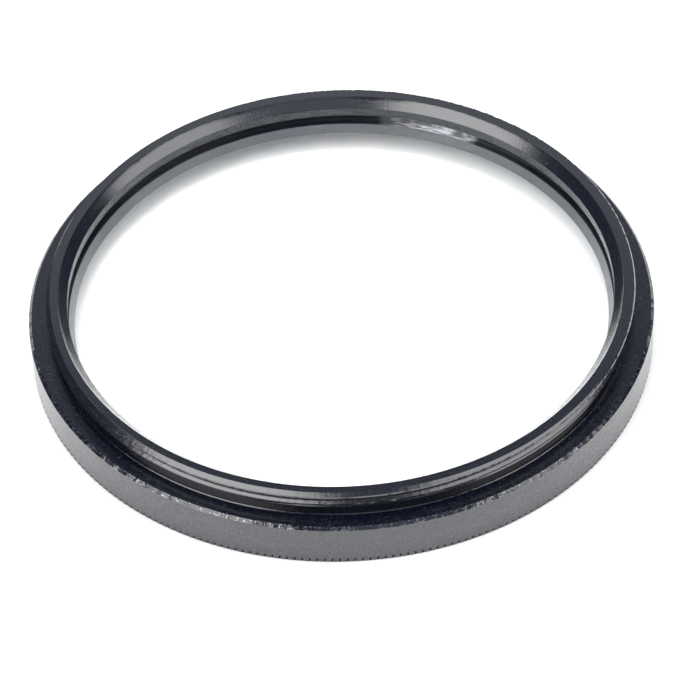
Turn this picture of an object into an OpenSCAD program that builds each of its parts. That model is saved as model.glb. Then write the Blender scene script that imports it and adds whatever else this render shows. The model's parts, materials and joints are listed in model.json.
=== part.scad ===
// Screw-in lens filter: a turned ring with a male thread at the back and a female thread at the
// front, a plane glass held against a lip inside it, and the threaded ring that clamps the glass.
// It stands on its front rim, so +Z runs from the front of the filter to the lens behind it.

/* [Filter thread] */
// Nominal diameter of the thread, which is the filter's size
filter_d = 49; // [37:0.5:82]
// Pitch of the thread
pitch = 0.75; // [0.5:0.05:1]
// How far the male thread's crests stay inside the nominal radius
thread_allowance = 0.05; // [0.02:0.01:0.1]

/* [Outer band] */
// How far the band stands out past the nominal thread
band_step = 1.5; // [1:0.1:3]
// Height of the band, from the front rim to the shoulder
band_h = 3.9; // [3.6:0.1:7]
// Bevel on the shoulder's outer edge
shoulder_bevel = 0.2; // [0.1:0.05:0.4]
// Bevel on the front rim's outer edge
rim_bevel = 0.1; // [0.05:0.05:0.3]

/* [Knurl] */
// Number of teeth round the front edge of the band
teeth = 270; // [120:1:280]
// Height of the knurled strip
knurl_h = 0.4; // [0.3:0.05:1.5]
// Depth of the grooves between the teeth
groove_depth = 0.15; // [0.08:0.01:0.2]
// Width of each tooth's flat tip
tooth_land = 0.3; // [0.1:0.05:0.4]

/* [Rear collar] */
// Height of the collar that carries the male thread, above the shoulder
collar_h = 2.1; // [1.7:0.1:4]
// Bevel where the male thread starts
start_bevel = 0.15; // [0.1:0.05:0.4]
// Height of the plain groove between the thread and the shoulder
relief_h = 0.45; // [0.3:0.05:0.8]
// Height of the low step round the foot of that groove
step_h = 0.07; // [0.03:0.01:0.15]
// How far the step reaches out past the thread's crests
step_out = 0.05; // [0:0.01:0.2]
// How far the bevelled mouth widens from the lip to the rear face
mouth_flare = 0.75; // [0.2:0.01:0.9]
// Depth of the bevelled mouth
mouth_depth = 0.75; // [0.3:0.05:1]

/* [Lip and glass] */
// How far the lip's edge stays inside the nominal thread
lip_inset = 1.8; // [1.5:0.1:3]
// Thickness of the lip, from the mouth to the glass
lip_t = 0.8; // [0.5:0.1:1.5]
// How far the lip overlaps the glass
lip_overlap = 0.65; // [0.3:0.05:0.8]
// Thickness of the glass
glass_t = 1.8; // [1:0.1:2.2]
// Bevel ground on the glass's edges
glass_bevel = 0.15; // [0.05:0.01:0.2]
// Clearance round the edge of the glass
glass_gap = 0.1; // [0.05:0.01:0.15]

/* [Retaining ring] */
// Thickness of the ring
ring_t = 1; // [0.6:0.05:1.2]
// How far the ring's inner edge reaches in past the lip, where it meets the glass
ring_top_reach = 0.03; // [0:0.01:0.3]
// How far the ring reaches in past the lip at its narrowest
ring_reach = 0.43; // [0.4:0.01:1]
// Bevel on the ring's inner front edge
ring_bevel = 0.3; // [0.1:0.01:0.35]
// How much narrower the bore that it screws into is than the front thread, on the radius
ring_bore_step = 0.3; // [0.25:0.01:0.4]
// How far the ring sits inside the front end of that bore
ring_recess = 0.15; // [0.1:0.05:0.3]
// Clearance between the ring and that bore
ring_gap = 0.05; // [0.02:0.01:0.08]
// Number of holes for a pin spanner in the ring's front face
pin_holes = 2; // [2:1:6]
// Diameter of those holes
pin_hole_d = 0.7; // [0.4:0.05:0.8]
// Depth of those holes
pin_hole_depth = 0.4; // [0.2:0.05:0.5]

/* [Front bore] */
// Bevel at the mouth of the front bore
entry_bevel = 0.35; // [0.1:0.05:0.4]

/* [Hidden] */
$fn = 180;

// Radial depth of a 60 degree thread, outside and inside, as shares of its pitch
MALE_DEPTH = 0.6134;
FEMALE_DEPTH = 0.5413;
// How far a cutter runs past what it cuts
OVER = 1;

nominal_r = filter_d / 2;
band_r = nominal_r + band_step;
thread_r = nominal_r - thread_allowance;
relief_r = thread_r - MALE_DEPTH * pitch;
bore_r = nominal_r - FEMALE_DEPTH * pitch;
lip_r = nominal_r - lip_inset;
glass_r = lip_r + lip_overlap;
seat_r = glass_r + glass_gap;
ring_bore_r = bore_r - ring_bore_step;
ring_r = ring_bore_r - ring_gap;
ring_face_r = lip_r - ring_reach + ring_bevel;
pin_r = (ring_face_r + ring_r) / 2;

// Heights, from the rear face down to the front end of the retaining ring's bore
rear_z = band_h + collar_h;
mouth_z = rear_z - mouth_depth;
lip_z = mouth_z - lip_t;
glass_z = lip_z - glass_t;
ring_z = glass_z - ring_t;
ledge_z = ring_z - ring_recess;

// The foot and the top of the thread relief; its top runs out at 45 degrees
step_z = band_h + step_h;
relief_z = band_h + relief_h;
relief_slope = thread_r - relief_r;

// One groove of the knurl seen along the axis, on +X. Its walls run on past the band, half way to
// where they would meet those of the next groove.
groove_w = 2 * PI * band_r / teeth - tooth_land;
groove_over = groove_depth * tooth_land / groove_w / 2;
groove_mouth = groove_w * (1 + groove_over / groove_depth);
groove_section = [
    [band_r - groove_depth, 0],
    [band_r + groove_over, -groove_mouth / 2],
    [band_r + groove_over, groove_mouth / 2]
];

// Half section of the turned frame, as radius and height, from the front rim round the outside
frame_section = [
    [bore_r + entry_bevel, 0],
    [band_r - rim_bevel, 0],
    [band_r, rim_bevel],
    [band_r, band_h - shoulder_bevel],
    [band_r - shoulder_bevel, band_h],
    [thread_r + step_out, band_h],
    [thread_r + step_out - step_h, step_z],
    [relief_r, step_z],
    [relief_r, relief_z],
    [thread_r, relief_z + relief_slope],
    [thread_r, rear_z - start_bevel],
    [thread_r - start_bevel, rear_z],
    [lip_r + mouth_flare, rear_z],
    [lip_r, mouth_z],
    [lip_r, lip_z],
    [seat_r, lip_z],
    [seat_r, glass_z],
    [ring_bore_r, glass_z],
    [ring_bore_r, ledge_z],
    [bore_r, ledge_z],
    [bore_r, entry_bevel]
];

// Half section of the glass, with its ground edges
glass_section = [
    [0, glass_z],
    [glass_r - glass_bevel, glass_z],
    [glass_r, glass_z + glass_bevel],
    [glass_r, lip_z - glass_bevel],
    [glass_r - glass_bevel, lip_z],
    [0, lip_z]
];

// Half section of the retaining ring: it tapers inwards from the glass, so light off it goes forward
ring_section = [
    [ring_face_r, ring_z],
    [ring_r, ring_z],
    [ring_r, glass_z],
    [lip_r - ring_top_reach, glass_z],
    [lip_r - ring_reach, ring_z + ring_bevel]
];

// What the knurling tool takes off round the front edge
module knurl_grooves() {
    translate([0, 0, -OVER])
        linear_extrude(knurl_h + OVER)
            for (i = [0 : teeth - 1])
                rotate(360 * (i + 0.5) / teeth)
                    polygon(groove_section);
}

// Blind holes for a pin spanner, along the middle of the retaining ring's front face
module spanner_holes() {
    for (i = [0 : pin_holes - 1])
        rotate([0, 0, 360 * i / pin_holes])
            translate([pin_r, 0, ring_z - OVER])
                cylinder(d = pin_hole_d, h = pin_hole_depth + OVER);
}

// The ring that everything else sits in, turned from one piece of aluminium
module frame() {
    color([0.13, 0.14, 0.16])
        difference() {
            rotate_extrude() polygon(frame_section);
            knurl_grooves();
        }
}

// The plane filter glass, against the underside of the lip
module glass() {
    color([0.8, 0.9, 0.95, 0.5])
        rotate_extrude() polygon(glass_section);
}

// The ring that screws in from the front and clamps the glass
module retaining_ring() {
    color([0.2, 0.21, 0.23])
        difference() {
            rotate_extrude() polygon(ring_section);
            spanner_holes();
        }
}

frame();
glass();
retaining_ring();
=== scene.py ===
import json
import math

import bpy
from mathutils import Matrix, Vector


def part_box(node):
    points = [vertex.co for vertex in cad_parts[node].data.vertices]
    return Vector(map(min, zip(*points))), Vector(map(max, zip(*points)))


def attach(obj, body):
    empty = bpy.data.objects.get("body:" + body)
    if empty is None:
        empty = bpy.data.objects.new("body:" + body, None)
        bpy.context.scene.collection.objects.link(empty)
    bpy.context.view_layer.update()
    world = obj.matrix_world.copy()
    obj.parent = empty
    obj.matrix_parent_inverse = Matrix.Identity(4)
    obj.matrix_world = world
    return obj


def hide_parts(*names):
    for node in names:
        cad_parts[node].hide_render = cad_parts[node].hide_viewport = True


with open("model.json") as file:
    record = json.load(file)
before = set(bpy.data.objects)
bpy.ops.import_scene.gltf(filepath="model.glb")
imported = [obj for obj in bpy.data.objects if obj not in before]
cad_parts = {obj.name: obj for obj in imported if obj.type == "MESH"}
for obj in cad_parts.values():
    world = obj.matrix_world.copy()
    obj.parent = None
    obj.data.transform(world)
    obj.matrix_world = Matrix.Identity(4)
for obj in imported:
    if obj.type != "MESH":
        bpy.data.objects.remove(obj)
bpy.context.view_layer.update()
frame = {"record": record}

# Frame: the ring that everything else sits in, turned in one piece from an aluminium blank. It is
# threaded at both ends and knurled round its front edge, and anodised black all over.
MM = 0.001
mounts = {mount["name"]: mount for mount in frame["record"]["mounts"]}
band_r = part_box("frame")[1].x
rear_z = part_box("frame")[1].z
band_h = mounts["shoulder"]["pos_m"][2]
thread_r = mounts["rear_thread"]["dims"]["r_mm"] * MM
bore_r = mounts["front_thread"]["dims"]["r_mm"] * MM
glass_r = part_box("glass")[1].x
lip_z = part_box("glass")[1].z
glass_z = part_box("glass")[0].z
ring_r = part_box("retaining_ring")[1].x
ring_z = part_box("retaining_ring")[0].z

rim_bevel = 0.1 * MM
shoulder_bevel = 0.2 * MM
entry_bevel = 0.35 * MM
start_bevel = 0.15 * MM
lip_bevel = 0.03 * MM
step_h = 0.07 * MM
step_out = 0.05 * MM
relief_z = band_h + 0.45 * MM
mouth_z = rear_z - 0.75 * MM
lip_r = glass_r - 0.65 * MM
mouth_r = lip_r + 0.75 * MM
seat_r = glass_r + 0.1 * MM
ring_bore_r = ring_r + 0.05 * MM
ledge_z = ring_z - 0.15 * MM

teeth = 270
columns_per_tooth = 4
knurl_h = 0.4 * MM
knurl_runout = 0.03 * MM
groove_depth = 0.15 * MM

# The threads: the widths of a crest and a flank are shares of the pitch, and each crest has the
# height given here at the start of its first turn
pitch = 0.75 * MM
male_depth = 0.53 * pitch
female_depth = 0.53 * pitch
crest_w = 0.2
flank_w = 0.31
male_crest_z = 4.41 * MM
female_crest_z = 0.2 * MM

# Wear: how deep the nicks in the turned edges go, and how many of them there are in a radian
shoulder_nick = 0.16 * MM
mouth_nick = 0.03 * MM
step_nick = 0.02 * MM
start_nicks_per_radian = 100
edge_nicks_per_radian = 110
thread_nicks_per_mm = 3


class Tree:
    """Builds a tree of nodes: add() makes any node, and number() makes a value for Python maths."""

    def __init__(self, tree):
        self.tree = tree
        tree.nodes.clear()

    def add(self, kind, settings=None, inputs=None):
        node = self.tree.nodes.new(kind)
        for name, value in (settings or {}).items():
            setattr(node, name, value)
        for name, value in (inputs or {}).items():
            self.feed(node.inputs[name], value)
        return node

    def feed(self, socket, value):
        if isinstance(value, Number):
            value = value.socket
        if isinstance(value, bpy.types.NodeSocket):
            self.tree.links.new(value, socket)
        else:
            socket.default_value = value

    def number(self, socket):
        return Number(self, socket)

    def noise(self, vector, detail=2.0):
        made = self.add("ShaderNodeTexNoise", {}, {"Vector": vector, "Scale": 1.0, "Detail": detail})
        return self.number(made.outputs[0])

    def vector(self, x, y, z):
        return self.add("ShaderNodeCombineXYZ", {}, {0: x, 1: y, 2: z}).outputs[0]


class Number:
    """A number in a tree. Its operators add the tree's Math nodes, and a comparison gives 1 or 0."""

    def __init__(self, tree, socket):
        self.tree = tree
        self.socket = socket

    def math(self, operation, *others):
        values = dict(enumerate((self, *others)))
        node = self.tree.add("ShaderNodeMath", {"operation": operation}, values)
        return Number(self.tree, node.outputs[0])

    def __add__(self, other):
        return self.math("ADD", other)

    __radd__ = __add__

    def __mul__(self, other):
        return self.math("MULTIPLY", other)

    __rmul__ = __mul__

    def __sub__(self, other):
        return self.math("SUBTRACT", other)

    def __rsub__(self, other):
        return (self * -1).math("ADD", other)

    def __truediv__(self, other):
        return self.math("DIVIDE", other)

    def __gt__(self, other):
        return self.math("GREATER_THAN", other)

    def __lt__(self, other):
        return self.math("LESS_THAN", other)

    def clamp(self, low=0.0, high=1.0):
        return self.math("MAXIMUM", low).math("MINIMUM", high)

    def mix(self, other, share):
        return self + share * (other - self)


def turning_tree():
    """Turns rows, given as points of radius and height, into a ring with threads and a knurl."""
    group = bpy.data.node_groups.new("turned_ring", "GeometryNodeTree")
    tree = Tree(group)
    kinds = {"Rows": "Geometry", "Row count": "Int", "Columns": "Int", "Teeth": "Float",
             "Groove depth": "Float", "Band radius": "Float", "Pitch": "Float",
             "Male crest": "Float", "Male depth": "Float", "Male bottom": "Float",
             "Male top": "Float", "Thread radius": "Float", "Start bevel": "Float",
             "Female crest": "Float", "Female depth": "Float", "Female top": "Float",
             "Bore radius": "Float", "Entry bevel": "Float", "Crest width": "Float",
             "Flank width": "Float", "Weld": "Float", "Sharp from": "Float",
             "Material": "Material"}
    for name, kind in kinds.items():
        group.interface.new_socket(name, in_out="INPUT", socket_type="NodeSocket" + kind)
    group.interface.new_socket("Ring", in_out="OUTPUT", socket_type="NodeSocketGeometry")
    given = tree.add("NodeGroupInput").outputs
    size = {name: tree.number(given[name]) for name, kind in kinds.items() if kind == "Float"}

    # A flat grid whose points know which row of the section and which turn round the axis is theirs
    grid = tree.add("GeometryNodeMeshGrid", {}, {
        "Vertices X": tree.number(given["Columns"]) + 1, "Vertices Y": given["Row count"]})
    index = tree.number(tree.add("GeometryNodeInputIndex").outputs[0])
    rows = tree.number(given["Row count"])
    column = (index / rows).math("FLOOR")
    row = index - column * rows
    turn = column / given["Columns"]
    angle = turn * math.tau
    cos, sin = angle.math("COSINE"), angle.math("SINE")

    def of_row(kind, field):
        sample = tree.add("GeometryNodeSampleIndex", {"data_type": kind, "domain": "POINT"}, {
            "Geometry": given["Rows"], "Value": field, "Index": row})
        return sample.outputs[0]

    def mark(name):
        named = tree.add("GeometryNodeInputNamedAttribute", {"data_type": "FLOAT"}, {"Name": name})
        return tree.number(of_row("FLOAT", named.outputs[0]))

    place = of_row("FLOAT_VECTOR", tree.add("GeometryNodeInputPosition").outputs[0])
    place = tree.add("ShaderNodeSeparateXYZ", {}, {0: place}).outputs
    radius, height = tree.number(place[0]), tree.number(place[2])
    male, female, knurled = mark("male"), mark("female"), mark("knurled")

    # Threaded rows climb by one pitch a turn, between the ends of their thread
    climb = height + size["Pitch"] * turn
    in_male = climb.clamp(size["Male bottom"], size["Male top"])
    in_female = climb.clamp(0.0, size["Female top"])
    z = height.mix(in_male, male).mix(in_female, female)

    def ridge(crest):
        """1 along a thread's crest and 0 along its root, at a row's own height."""
        phase = (z - crest) / size["Pitch"] - turn
        away = ((phase + 0.5).math("FRACT") - 0.5).math("ABSOLUTE")
        return ((size["Crest width"] / 2 + size["Flank width"] - away) / size["Flank width"]).clamp()

    # The male thread is cut a little unevenly, and its start is nicked
    round_x, round_y = cos * start_nicks_per_radian, sin * start_nicks_per_radian
    nicks = tree.noise(tree.vector(round_x, round_y, 3)) * 1.8 - 0.05
    start = (z - size["Male top"] + size["Start bevel"]).math("MAXIMUM", 0.0) * nicks
    runout = (z - size["Male bottom"]).math("MAXIMUM", 0.0)
    root = size["Thread radius"] - size["Male depth"]
    uneven = 1 - tree.noise(tree.vector(round_x, round_y, z * (thread_nicks_per_mm / MM))) * 0.2
    male_r = root + size["Male depth"] * ridge(size["Male crest"]) * uneven
    male_r = male_r.math("MINIMUM", size["Thread radius"] - start).math("MINIMUM", root + runout)
    entry = (size["Entry bevel"] - z).math("MAXIMUM", 0.0)
    female_r = size["Bore radius"] + size["Female depth"] * (1 - ridge(size["Female crest"]))
    female_r = female_r.math("MAXIMUM", size["Bore radius"] + entry)

    # The knurl's V grooves take half of each tooth's share of the band
    beside_groove = ((turn * size["Teeth"] + 0.5).math("FRACT") - 0.5).math("ABSOLUTE")
    groove = (1 - beside_groove * 4).math("MAXIMUM", 0.0) * size["Groove depth"]
    knurl_r = radius.math("MINIMUM", size["Band radius"] - groove)
    r = radius.mix(knurl_r, knurled).mix(male_r, male).mix(female_r, female)

    # The turned edges wander along the two faces that meet there, and each row has its own noise
    edge_x, edge_y = cos * edge_nicks_per_radian, sin * edge_nicks_per_radian
    r = r - mark("inward") * tree.noise(tree.vector(edge_x, edge_y, row * 5.3))
    z = z - mark("downward") * tree.noise(tree.vector(edge_x, edge_y, row * 7.1 + 40))

    bent = tree.add("GeometryNodeSetPosition", {}, {
        "Geometry": grid.outputs[0], "Position": tree.vector(r * cos, r * sin, z)})
    merged = tree.add("GeometryNodeMergeByDistance", {}, {
        "Geometry": bent.outputs[0], "Distance": size["Weld"]})
    smooth = tree.add("GeometryNodeSetShadeSmooth", {"domain": "FACE"}, {
        "Geometry": merged.outputs[0], "Shade Smooth": True})
    edge = tree.number(tree.add("GeometryNodeInputMeshEdgeAngle").outputs[0])
    sharp = tree.add("GeometryNodeSetShadeSmooth", {"domain": "EDGE"}, {
        "Geometry": smooth.outputs[0], "Shade Smooth": False,
        "Selection": edge > size["Sharp from"]})
    real = tree.add("GeometryNodeRealizeInstances", {}, {"Geometry": sharp.outputs[0]})
    dressed = tree.add("GeometryNodeSetMaterial", {}, {
        "Geometry": real.outputs[0], "Material": given["Material"]})
    tree.add("NodeGroupOutput", {}, {0: dressed.outputs[0]})
    return group


def stretch(start, end, count, **marks):
    """Rows from one point of a section to another, both included."""
    share = [step / (count - 1) for step in range(count)]
    return [(start[0] + s * (end[0] - start[0]), start[1] + s * (end[1] - start[1]), marks)
            for s in share]


def threaded(crest, low, high, **marks):
    """Rows for each turn of a thread: both edges of its crest and its root, and the flanks."""
    middle = crest_w / 2 + flank_w / 2
    edges = [crest_w / 2, middle, crest_w / 2 + flank_w]
    offsets = sorted([-edge for edge in edges] + edges)
    turns = range(math.floor((low - crest) / pitch) - 2, math.ceil((high - crest) / pitch) + 2)
    heights = [crest + pitch * (turn + offset) for turn in turns for offset in offsets]
    return [(bore_r, z, marks) for z in heights if low - pitch * 1.3 < z < high + pitch * 0.3]


def turned(name, rows, material, columns):
    """Makes a turned piece from the rows of its section, as a plain mesh."""
    section = bpy.data.meshes.new(name)
    section.from_pydata([(r, 0, z) for r, z, marks in rows], [], [])
    for mark in ("male", "female", "knurled", "inward", "downward"):
        layer = section.attributes.new(mark, "FLOAT", "POINT")
        layer.data.foreach_set("value", [float(marks.get(mark, 0)) for r, z, marks in rows])
    piece = bpy.data.objects.new(name, section)
    bpy.context.scene.collection.objects.link(piece)
    form = piece.modifiers.new("turning", "NODES")
    form.node_group = TURNING
    sizes = {"Row count": len(rows), "Columns": columns, "Teeth": float(teeth),
             "Groove depth": groove_depth, "Band radius": band_r, "Pitch": pitch,
             "Male crest": male_crest_z, "Male depth": male_depth, "Male bottom": relief_z,
             "Male top": rear_z, "Thread radius": thread_r, "Start bevel": start_bevel,
             "Female crest": female_crest_z, "Female depth": female_depth,
             "Female top": ledge_z, "Bore radius": bore_r, "Entry bevel": entry_bevel,
             "Crest width": crest_w, "Flank width": flank_w, "Weld": 0.0002 * MM,
             "Sharp from": math.radians(20), "Material": material}
    for item in TURNING.interface.items_tree:
        if item.name in sizes:
            form[item.identifier] = sizes[item.name]
    graph = bpy.context.evaluated_depsgraph_get()
    mesh = bpy.data.meshes.new_from_object(piece.evaluated_get(graph))
    piece.modifiers.remove(form)
    piece.data = mesh
    return piece


def round_coordinates(tree):
    """Radius, height and the cosine and sine of the angle, from the axis and in millimetres."""
    place = tree.add("ShaderNodeTexCoord").outputs["Object"]
    place = tree.add("ShaderNodeSeparateXYZ", {}, {0: place}).outputs
    x, y, z = [tree.number(place[axis]) * (1 / MM) for axis in range(3)]
    r = (x * x + y * y).math("SQRT")
    return r, z, x / r, y / r


def colour_between(tree, share, first, second):
    """One colour where a share is 0, and another where it is 1."""
    return tree.add("ShaderNodeMix", {"data_type": "RGBA"}, {
        0: share, 6: first, 7: second}).outputs[2]


# The finish: lines and grains are counted by the millimetre, chatter marks and clouds by the radian.
# In millimetres too are how far a mask reaches past the edges of its face, and how far below the
# shoulder's bevel the dye is rubbed through.
lines_per_mm = 14
grains_per_mm = 6
chatter_per_radian = 130
clouds_per_radian = 9
mask_margin = 0.02
rubbed_depth = 0.04
# The lip's bore takes this darker colour as painted shade
bore_painted_shade = (0.05, 0.053, 0.057, 1)
rubbed_metal = (0.32, 0.33, 0.35, 1)


def anodised(name, colour, roughness):
    """Black anodised aluminium, with lines of turning, ripples of tool chatter and a fine grain."""
    material = bpy.data.materials.new(name)
    material.use_nodes = True
    tree = Tree(material.node_tree)
    r, z, cos, sin = round_coordinates(tree)
    lines = tree.noise(
        tree.vector(r * lines_per_mm + cos * 2, z * lines_per_mm + sin * 2, cos * 3), 3.0)
    ripple = tree.noise(
        tree.vector(cos * chatter_per_radian, sin * chatter_per_radian, r * 0.8 + z * 0.8), 3.0)
    cloud = tree.noise(
        tree.vector(cos * clouds_per_radian, sin * clouds_per_radian, r + z * 2), 3.0)
    grain = tree.noise(
        tree.vector(cos * r * grains_per_mm, sin * r * grains_per_mm, z * grains_per_mm))
    bump = tree.add("ShaderNodeBump", {}, {
        "Strength": 1.0, "Distance": 0.006 * MM, "Height": lines * 0.4 + ripple * 0.8 + grain * 1.2})
    shine = (roughness + (grain - 0.5) * 0.35 + (cloud - 0.5) * 0.1).clamp(0.08, 0.8)

    # The collar is the glossiest, the band's side less so, and the lip's bore gets painted shade
    in_bore = (r < lip_r / MM + mask_margin) * (z > lip_z / MM - mask_margin)
    collar = (z > relief_z / MM) * (1 - in_bore)
    side = r > band_r / MM - mask_margin
    gloss = collar + side * 0.3 + (grain - 0.47) * 2.2

    # The dye is rubbed through in dots along the shoulder's bevel
    bevel = r + z > (band_r + band_h - shoulder_bevel) / MM - rubbed_depth
    bevel = bevel * (z < band_h / MM + mask_margin)
    rubbed = bevel * ((grain - 0.5) * 9).clamp()
    specks = ((grain - 0.6) * 6).clamp()
    light = tuple(part + 0.024 for part in colour)
    dye_and_bore_shade = colour_between(tree, specks, (*colour, 1), (*light, 1))
    # Painted shade: the lip's bore gets a darker, metallic colour that dims its reflections
    dye_and_bore_shade = colour_between(tree, in_bore, dye_and_bore_shade, bore_painted_shade)
    surface = tree.add("ShaderNodeBsdfPrincipled", {}, {
        "Base Color": colour_between(tree, rubbed, dye_and_bore_shade, rubbed_metal), "Roughness": shine,
        "Metallic": in_bore + rubbed, "IOR": 1.9, "Coat Weight": gloss.clamp(),
        "Coat Roughness": 0.2, "Normal": bump.outputs[0]})
    tree.add("ShaderNodeOutputMaterial", {}, {"Surface": surface.outputs[0]})
    return material


# The rows of the section go from the front face round the outside. Some lie just beside an edge, to
# keep its shading crisp.
TURNING = turning_tree()
beside = 0.05 * MM
bevel_w = 0.8 * shoulder_bevel
bevel_end = 1.8 * shoulder_bevel
frame_rows = [
    *stretch((bore_r + female_depth + 2 * beside, 0), (band_r - rim_bevel, 0), 3),
    *stretch((band_r - rim_bevel, 0), (band_r, rim_bevel), 5, knurled=1)[1:],
    *stretch((band_r, rim_bevel), (band_r, knurl_h), 3, knurled=1)[1:],
    *stretch((band_r, knurl_h + knurl_runout), (band_r, band_h - bevel_end), 5),
    (band_r, band_h - bevel_w, {"downward": shoulder_nick}),
    (band_r - bevel_w, band_h, {"inward": shoulder_nick}),
    *stretch((band_r - bevel_end, band_h), (thread_r + 3 * step_out, band_h), 4),
    (thread_r + step_out, band_h, {"inward": step_nick}),
    (thread_r + step_out - step_h, band_h + step_h, {"inward": step_nick}),
    *stretch((thread_r - 2 * step_out, band_h + step_h), (thread_r - male_depth, band_h + step_h), 3),
    *threaded(male_crest_z, relief_z, rear_z, male=1),
    *stretch((thread_r - male_depth - beside, rear_z), (mouth_r + beside, rear_z), 4),
    (mouth_r, rear_z, {"inward": mouth_nick}),
    *stretch((mouth_r - beside, rear_z - beside), (lip_r + beside, mouth_z + beside), 4),
    (lip_r, mouth_z, {}),
    *stretch((lip_r, mouth_z - beside), (lip_r, lip_z + lip_bevel), 4),
    (lip_r + lip_bevel, lip_z, {}),
    *stretch((lip_r + 2 * beside, lip_z), (seat_r, lip_z), 2),
    *stretch((seat_r, lip_z), (seat_r, glass_z), 3)[1:],
    (ring_bore_r, glass_z, {}),
    (ring_bore_r, ledge_z, {}),
    *reversed(threaded(female_crest_z, 0, ledge_z, female=1)),
]
frame_rows.append(frame_rows[0])
black = anodised("black_anodised", (0.002, 0.0035, 0.0115), 0.19)
ring = turned("filter_frame", frame_rows, black, teeth * columns_per_tooth)
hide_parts("frame")
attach(ring, "root")

# Glass: a plane disc, polished and coated, with a ground edge that is blackened, and a painted
# highlight on that edge in one place. It sits on the lip from the front, with a hair's breadth left
# here all round so that its faces and the metal's don't coincide.
glass_clear = 0.01 * MM
glass_bevel = 0.15 * MM
glass_top = lip_z - glass_clear
glass_low = glass_z + glass_clear
ground_marks_per_radian = 120
streaks_per_radian = 20
highlight_middle = math.radians(62)
highlight_end = math.radians(57.5)
blacking = (0.006, 0.008, 0.014, 1)
highlight_colour = (0.93, 0.93, 0.97, 1)


def clear_glass(name):
    """Clear glass that lets light through to what lies under it, and its blackened ground edge with a
    painted highlight.
    """
    material = bpy.data.materials.new(name)
    material.use_nodes = True
    tree = Tree(material.node_tree)
    r, z, cos, sin = round_coordinates(tree)
    edge = r > lip_r / MM + mask_margin
    grain = tree.noise(
        tree.vector(cos * ground_marks_per_radian, sin * ground_marks_per_radian, r * 4 + z * 4), 3.0)
    streaks = tree.noise(
        tree.vector(cos * streaks_per_radian, sin * streaks_per_radian, r * 9), 3.0)
    streaks = ((streaks - 0.42) * 5).clamp()

    # The painted highlight fades out on both sides of its middle, and is cut short at one end
    from_middle = cos * math.cos(highlight_middle) + sin * math.sin(highlight_middle)
    from_end = sin * math.cos(highlight_end) - cos * math.sin(highlight_end)
    painted_highlight = ((from_middle - 0.95) * 25).clamp() * (from_end * 30).clamp()
    painted_highlight = painted_highlight * (streaks * 0.85 + 0.15)
    clear = tree.add("ShaderNodeBsdfPrincipled", {}, {
        "Base Color": (0.985, 0.99, 0.99, 1), "Roughness": 0.0, "IOR": 1.45,
        "Transmission Weight": 1.0})
    bump = tree.add("ShaderNodeBump", {}, {
        "Strength": 1.0, "Distance": 0.01 * MM, "Height": grain})
    # The ground edge's colour: blackened, and near white where the highlight is painted
    ground = tree.add("ShaderNodeBsdfPrincipled", {}, {
        "Base Color": colour_between(tree, painted_highlight, blacking, highlight_colour), "Roughness": 0.3,
        "IOR": 1.6, "Normal": bump.outputs[0]})
    through = tree.add("ShaderNodeBsdfTransparent", {}, {"Color": (0.96, 0.965, 0.97, 1)})
    shadow = tree.add("ShaderNodeLightPath").outputs["Is Shadow Ray"]
    lit = tree.add("ShaderNodeMixShader", {}, {0: shadow, 1: clear.outputs[0],
                                               2: through.outputs[0]})
    both = tree.add("ShaderNodeMixShader", {}, {0: edge, 1: lit.outputs[0], 2: ground.outputs[0]})
    tree.add("ShaderNodeOutputMaterial", {}, {"Surface": both.outputs[0]})
    return material


glass_rows = [
    (0, glass_low, {}),
    (glass_r - glass_bevel, glass_low, {}),
    (glass_r, glass_low + glass_bevel, {}),
    (glass_r, glass_top - glass_bevel, {}),
    (glass_r - glass_bevel, glass_top, {}),
    (0, glass_top, {}),
]
glass = turned("filter_glass", glass_rows, clear_glass("coated_glass"), 360)
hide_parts("glass")
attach(glass, "root")

# Retaining ring: a thin ring of aluminium, threaded outside, that screws in from the front and
# clamps the glass. It is turned, drilled for a pin spanner and anodised like the frame, but its
# black is painted lighter, as a painted reflection of the paper on its inner wall.
ring_reach = 0.43 * MM
ring_top_reach = 0.03 * MM
ring_top_step = 0.02 * MM
ring_bevel = 0.3 * MM
ring_outer_bevel = 0.1 * MM
ring_face_r = lip_r - ring_reach + ring_bevel
pin_holes = 2
pin_r = (ring_face_r + ring_r) / 2
pin_hole_r = 0.35 * MM
pin_hole_depth = 0.4 * MM
drill_over = MM
clamp_rows = [
    (ring_face_r, ring_z, {}),
    *stretch((ring_face_r + ring_outer_bevel, ring_z), (ring_r - ring_outer_bevel, ring_z), 3),
    (ring_r, ring_z + ring_outer_bevel, {}),
    (ring_r, glass_z, {}),
    (lip_r - ring_top_reach, glass_z, {}),
    *stretch((lip_r - ring_top_reach - ring_top_step, glass_z - 2 * ring_top_step),
             (lip_r - ring_reach, ring_z + ring_bevel), 4),
    (ring_face_r, ring_z, {}),
]
# The ring's colour is lighter than the frame's: a painted reflection of the paper on its inner wall
clamp = turned("clamp_ring", clamp_rows, anodised("ring_black", (0.044, 0.051, 0.059), 0.35), 720)


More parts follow.
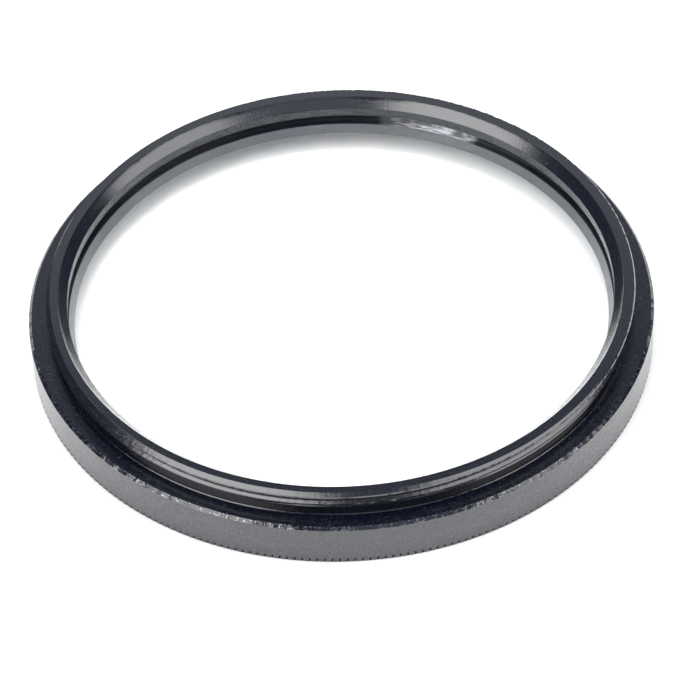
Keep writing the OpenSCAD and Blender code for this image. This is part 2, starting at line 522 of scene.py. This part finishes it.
def drill(piece, sides=40):
    """Drills the blind holes for a pin spanner into the ring's front face."""
    corners, faces = [], []
    for hole in range(pin_holes):
        middle = math.tau * hole / pin_holes
        first = len(corners)
        for z in (ring_z - drill_over, ring_z + pin_hole_depth):
            for side in range(sides):
                x = pin_r + pin_hole_r * math.cos(math.tau * side / sides)
                y = pin_hole_r * math.sin(math.tau * side / sides)
                corners.append((x * math.cos(middle) - y * math.sin(middle),
                                x * math.sin(middle) + y * math.cos(middle), z))
        low = [first + side for side in range(sides)]
        high = [corner + sides for corner in low]
        faces += [low[::-1], high]
        faces += [(low[side - 1], low[side], high[side], high[side - 1]) for side in range(sides)]
    mesh = bpy.data.meshes.new("cutter")
    mesh.from_pydata(corners, [], faces)
    mesh.materials.append(piece.data.materials[0])
    cutter = bpy.data.objects.new("cutter", mesh)
    bpy.context.scene.collection.objects.link(cutter)
    cut = piece.modifiers.new("holes", "BOOLEAN")
    cut.object = cutter
    cut.operation = "DIFFERENCE"
    cut.solver = "EXACT"
    graph = bpy.context.evaluated_depsgraph_get()
    piece.data = bpy.data.meshes.new_from_object(piece.evaluated_get(graph))
    piece.modifiers.clear()
    bpy.data.objects.remove(cutter)


drill(clamp)
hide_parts("retaining_ring")
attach(clamp, "root")

# Table: a plain sheet of white paper that the filter lies on, which keeps its shadow. The paper's
# glow is only for what the camera, the metal and the glass see, and less of it shows behind glass.
table_half = 4.0
glow_behind_glass = 0.25
mesh = bpy.data.meshes.new("table")
mesh.from_pydata([(-table_half, -table_half, 0), (table_half, -table_half, 0),
                  (table_half, table_half, 0), (-table_half, table_half, 0)], [], [(0, 1, 2, 3)])
table = bpy.data.objects.new("table", mesh)
bpy.context.scene.collection.objects.link(table)
white = bpy.data.materials.new("white_paper")
white.use_nodes = True
tree = Tree(white.node_tree)
paper = tree.add("ShaderNodeBsdfDiffuse", {}, {"Color": (0.9, 0.9, 0.9, 1)})
glow = tree.add("ShaderNodeEmission", {}, {"Color": (0.4, 0.4, 0.4, 1), "Strength": 1.0})
path = tree.add("ShaderNodeLightPath").outputs
behind_glass = 1 - tree.number(path["Is Transmission Ray"]) * (1 - glow_behind_glass)
seen = tree.number(path["Is Glossy Ray"]) * behind_glass + path["Is Camera Ray"]
added = tree.add("ShaderNodeMixShader", {}, {0: seen, 2: glow.outputs[0]})
both = tree.add("ShaderNodeAddShader", {}, {0: paper.outputs[0], 1: added.outputs[0]})
tree.add("ShaderNodeOutputMaterial", {}, {"Surface": both.outputs[0]})
mesh.materials.append(white)

# Light: a softbox on either side of the camera with a dark gap between them, and one overhead for
# the flat faces, each a metre from the filter. A weak one behind, a weak one in front and a dim
# room lift the rest.
lamp_distance = 1.0


def softbox(name, direction, side, power, colour=(1, 1, 1)):
    """A square softbox in a direction from the filter, turned to face it."""
    lamp = bpy.data.lights.new(name, "AREA")
    lamp.shape = "SQUARE"
    lamp.size = side
    lamp.energy = power
    lamp.color = colour
    holder = bpy.data.objects.new(name, lamp)
    bpy.context.scene.collection.objects.link(holder)
    length = math.sqrt(sum(part * part for part in direction))
    holder.location = [part * lamp_distance / length for part in direction]
    facing = -holder.location.normalized()
    holder.rotation_euler = facing.to_track_quat("-Z", "Y").to_euler()


softbox("left_softbox", (-0.54, -0.34, 0.77), 0.76, 5.4)
softbox("right_softbox", (0.65, -0.17, 0.74), 0.77, 3.85)
softbox("back_softbox", (-0.08, 0.9, 0.42), 0.7, 0.7, (0.92, 0.97, 1.0))
softbox("front_softbox", (0.17, -0.7, 0.7), 0.6, 0.42, (0.85, 0.9, 1.0))
softbox("top_softbox", (0.0, 0.12, 0.99), 0.5, 4.6)
world = bpy.data.worlds.new("room")
bpy.context.scene.world = world
world.use_nodes = True
tree = Tree(world.node_tree)
path = tree.add("ShaderNodeLightPath").outputs
room = tree.add("ShaderNodeBackground", {}, {"Color": (0.07, 0.077, 0.1, 1), "Strength": 1.0})
paper_white = tree.add("ShaderNodeBackground", {}, {"Color": (1, 1, 1, 1), "Strength": 1.0})
mixed = tree.add("ShaderNodeMixShader", {}, {0: path["Is Camera Ray"], 1: room.outputs[0],
                                             2: paper_white.outputs[0]})
tree.add("ShaderNodeOutputWorld", {}, {"Surface": mixed.outputs[0]})

# Camera: looks down at the filter from 44 degrees above the table, 300 mm away and a little rolled.
# Its focal length is given in pixels of the photograph, which is square.
elevation = math.radians(44.48)
roll = math.radians(-2.44)
eye = (0.58 * MM, -215.1 * MM, 209.13 * MM)
photo_px = 700
focal_px = 3571
lens = bpy.data.cameras.new("camera")
lens.sensor_fit = "HORIZONTAL"
lens.angle = 2 * math.atan(photo_px / 2 / focal_px)
lens.clip_start = 0.01
camera = bpy.data.objects.new("camera", lens)
bpy.context.scene.collection.objects.link(camera)
tip, fall = math.sin(elevation), math.cos(elevation)
right = (math.cos(roll), math.sin(roll) * tip, math.sin(roll) * fall)
up = (-math.sin(roll), math.cos(roll) * tip, math.cos(roll) * fall)
back = (0, -fall, tip)
camera.matrix_world = [(*column, 0) for column in (right, up, back)] + [(*eye, 1)]
bpy.context.scene.camera = camera
bpy.context.scene.view_settings.view_transform = "Standard"
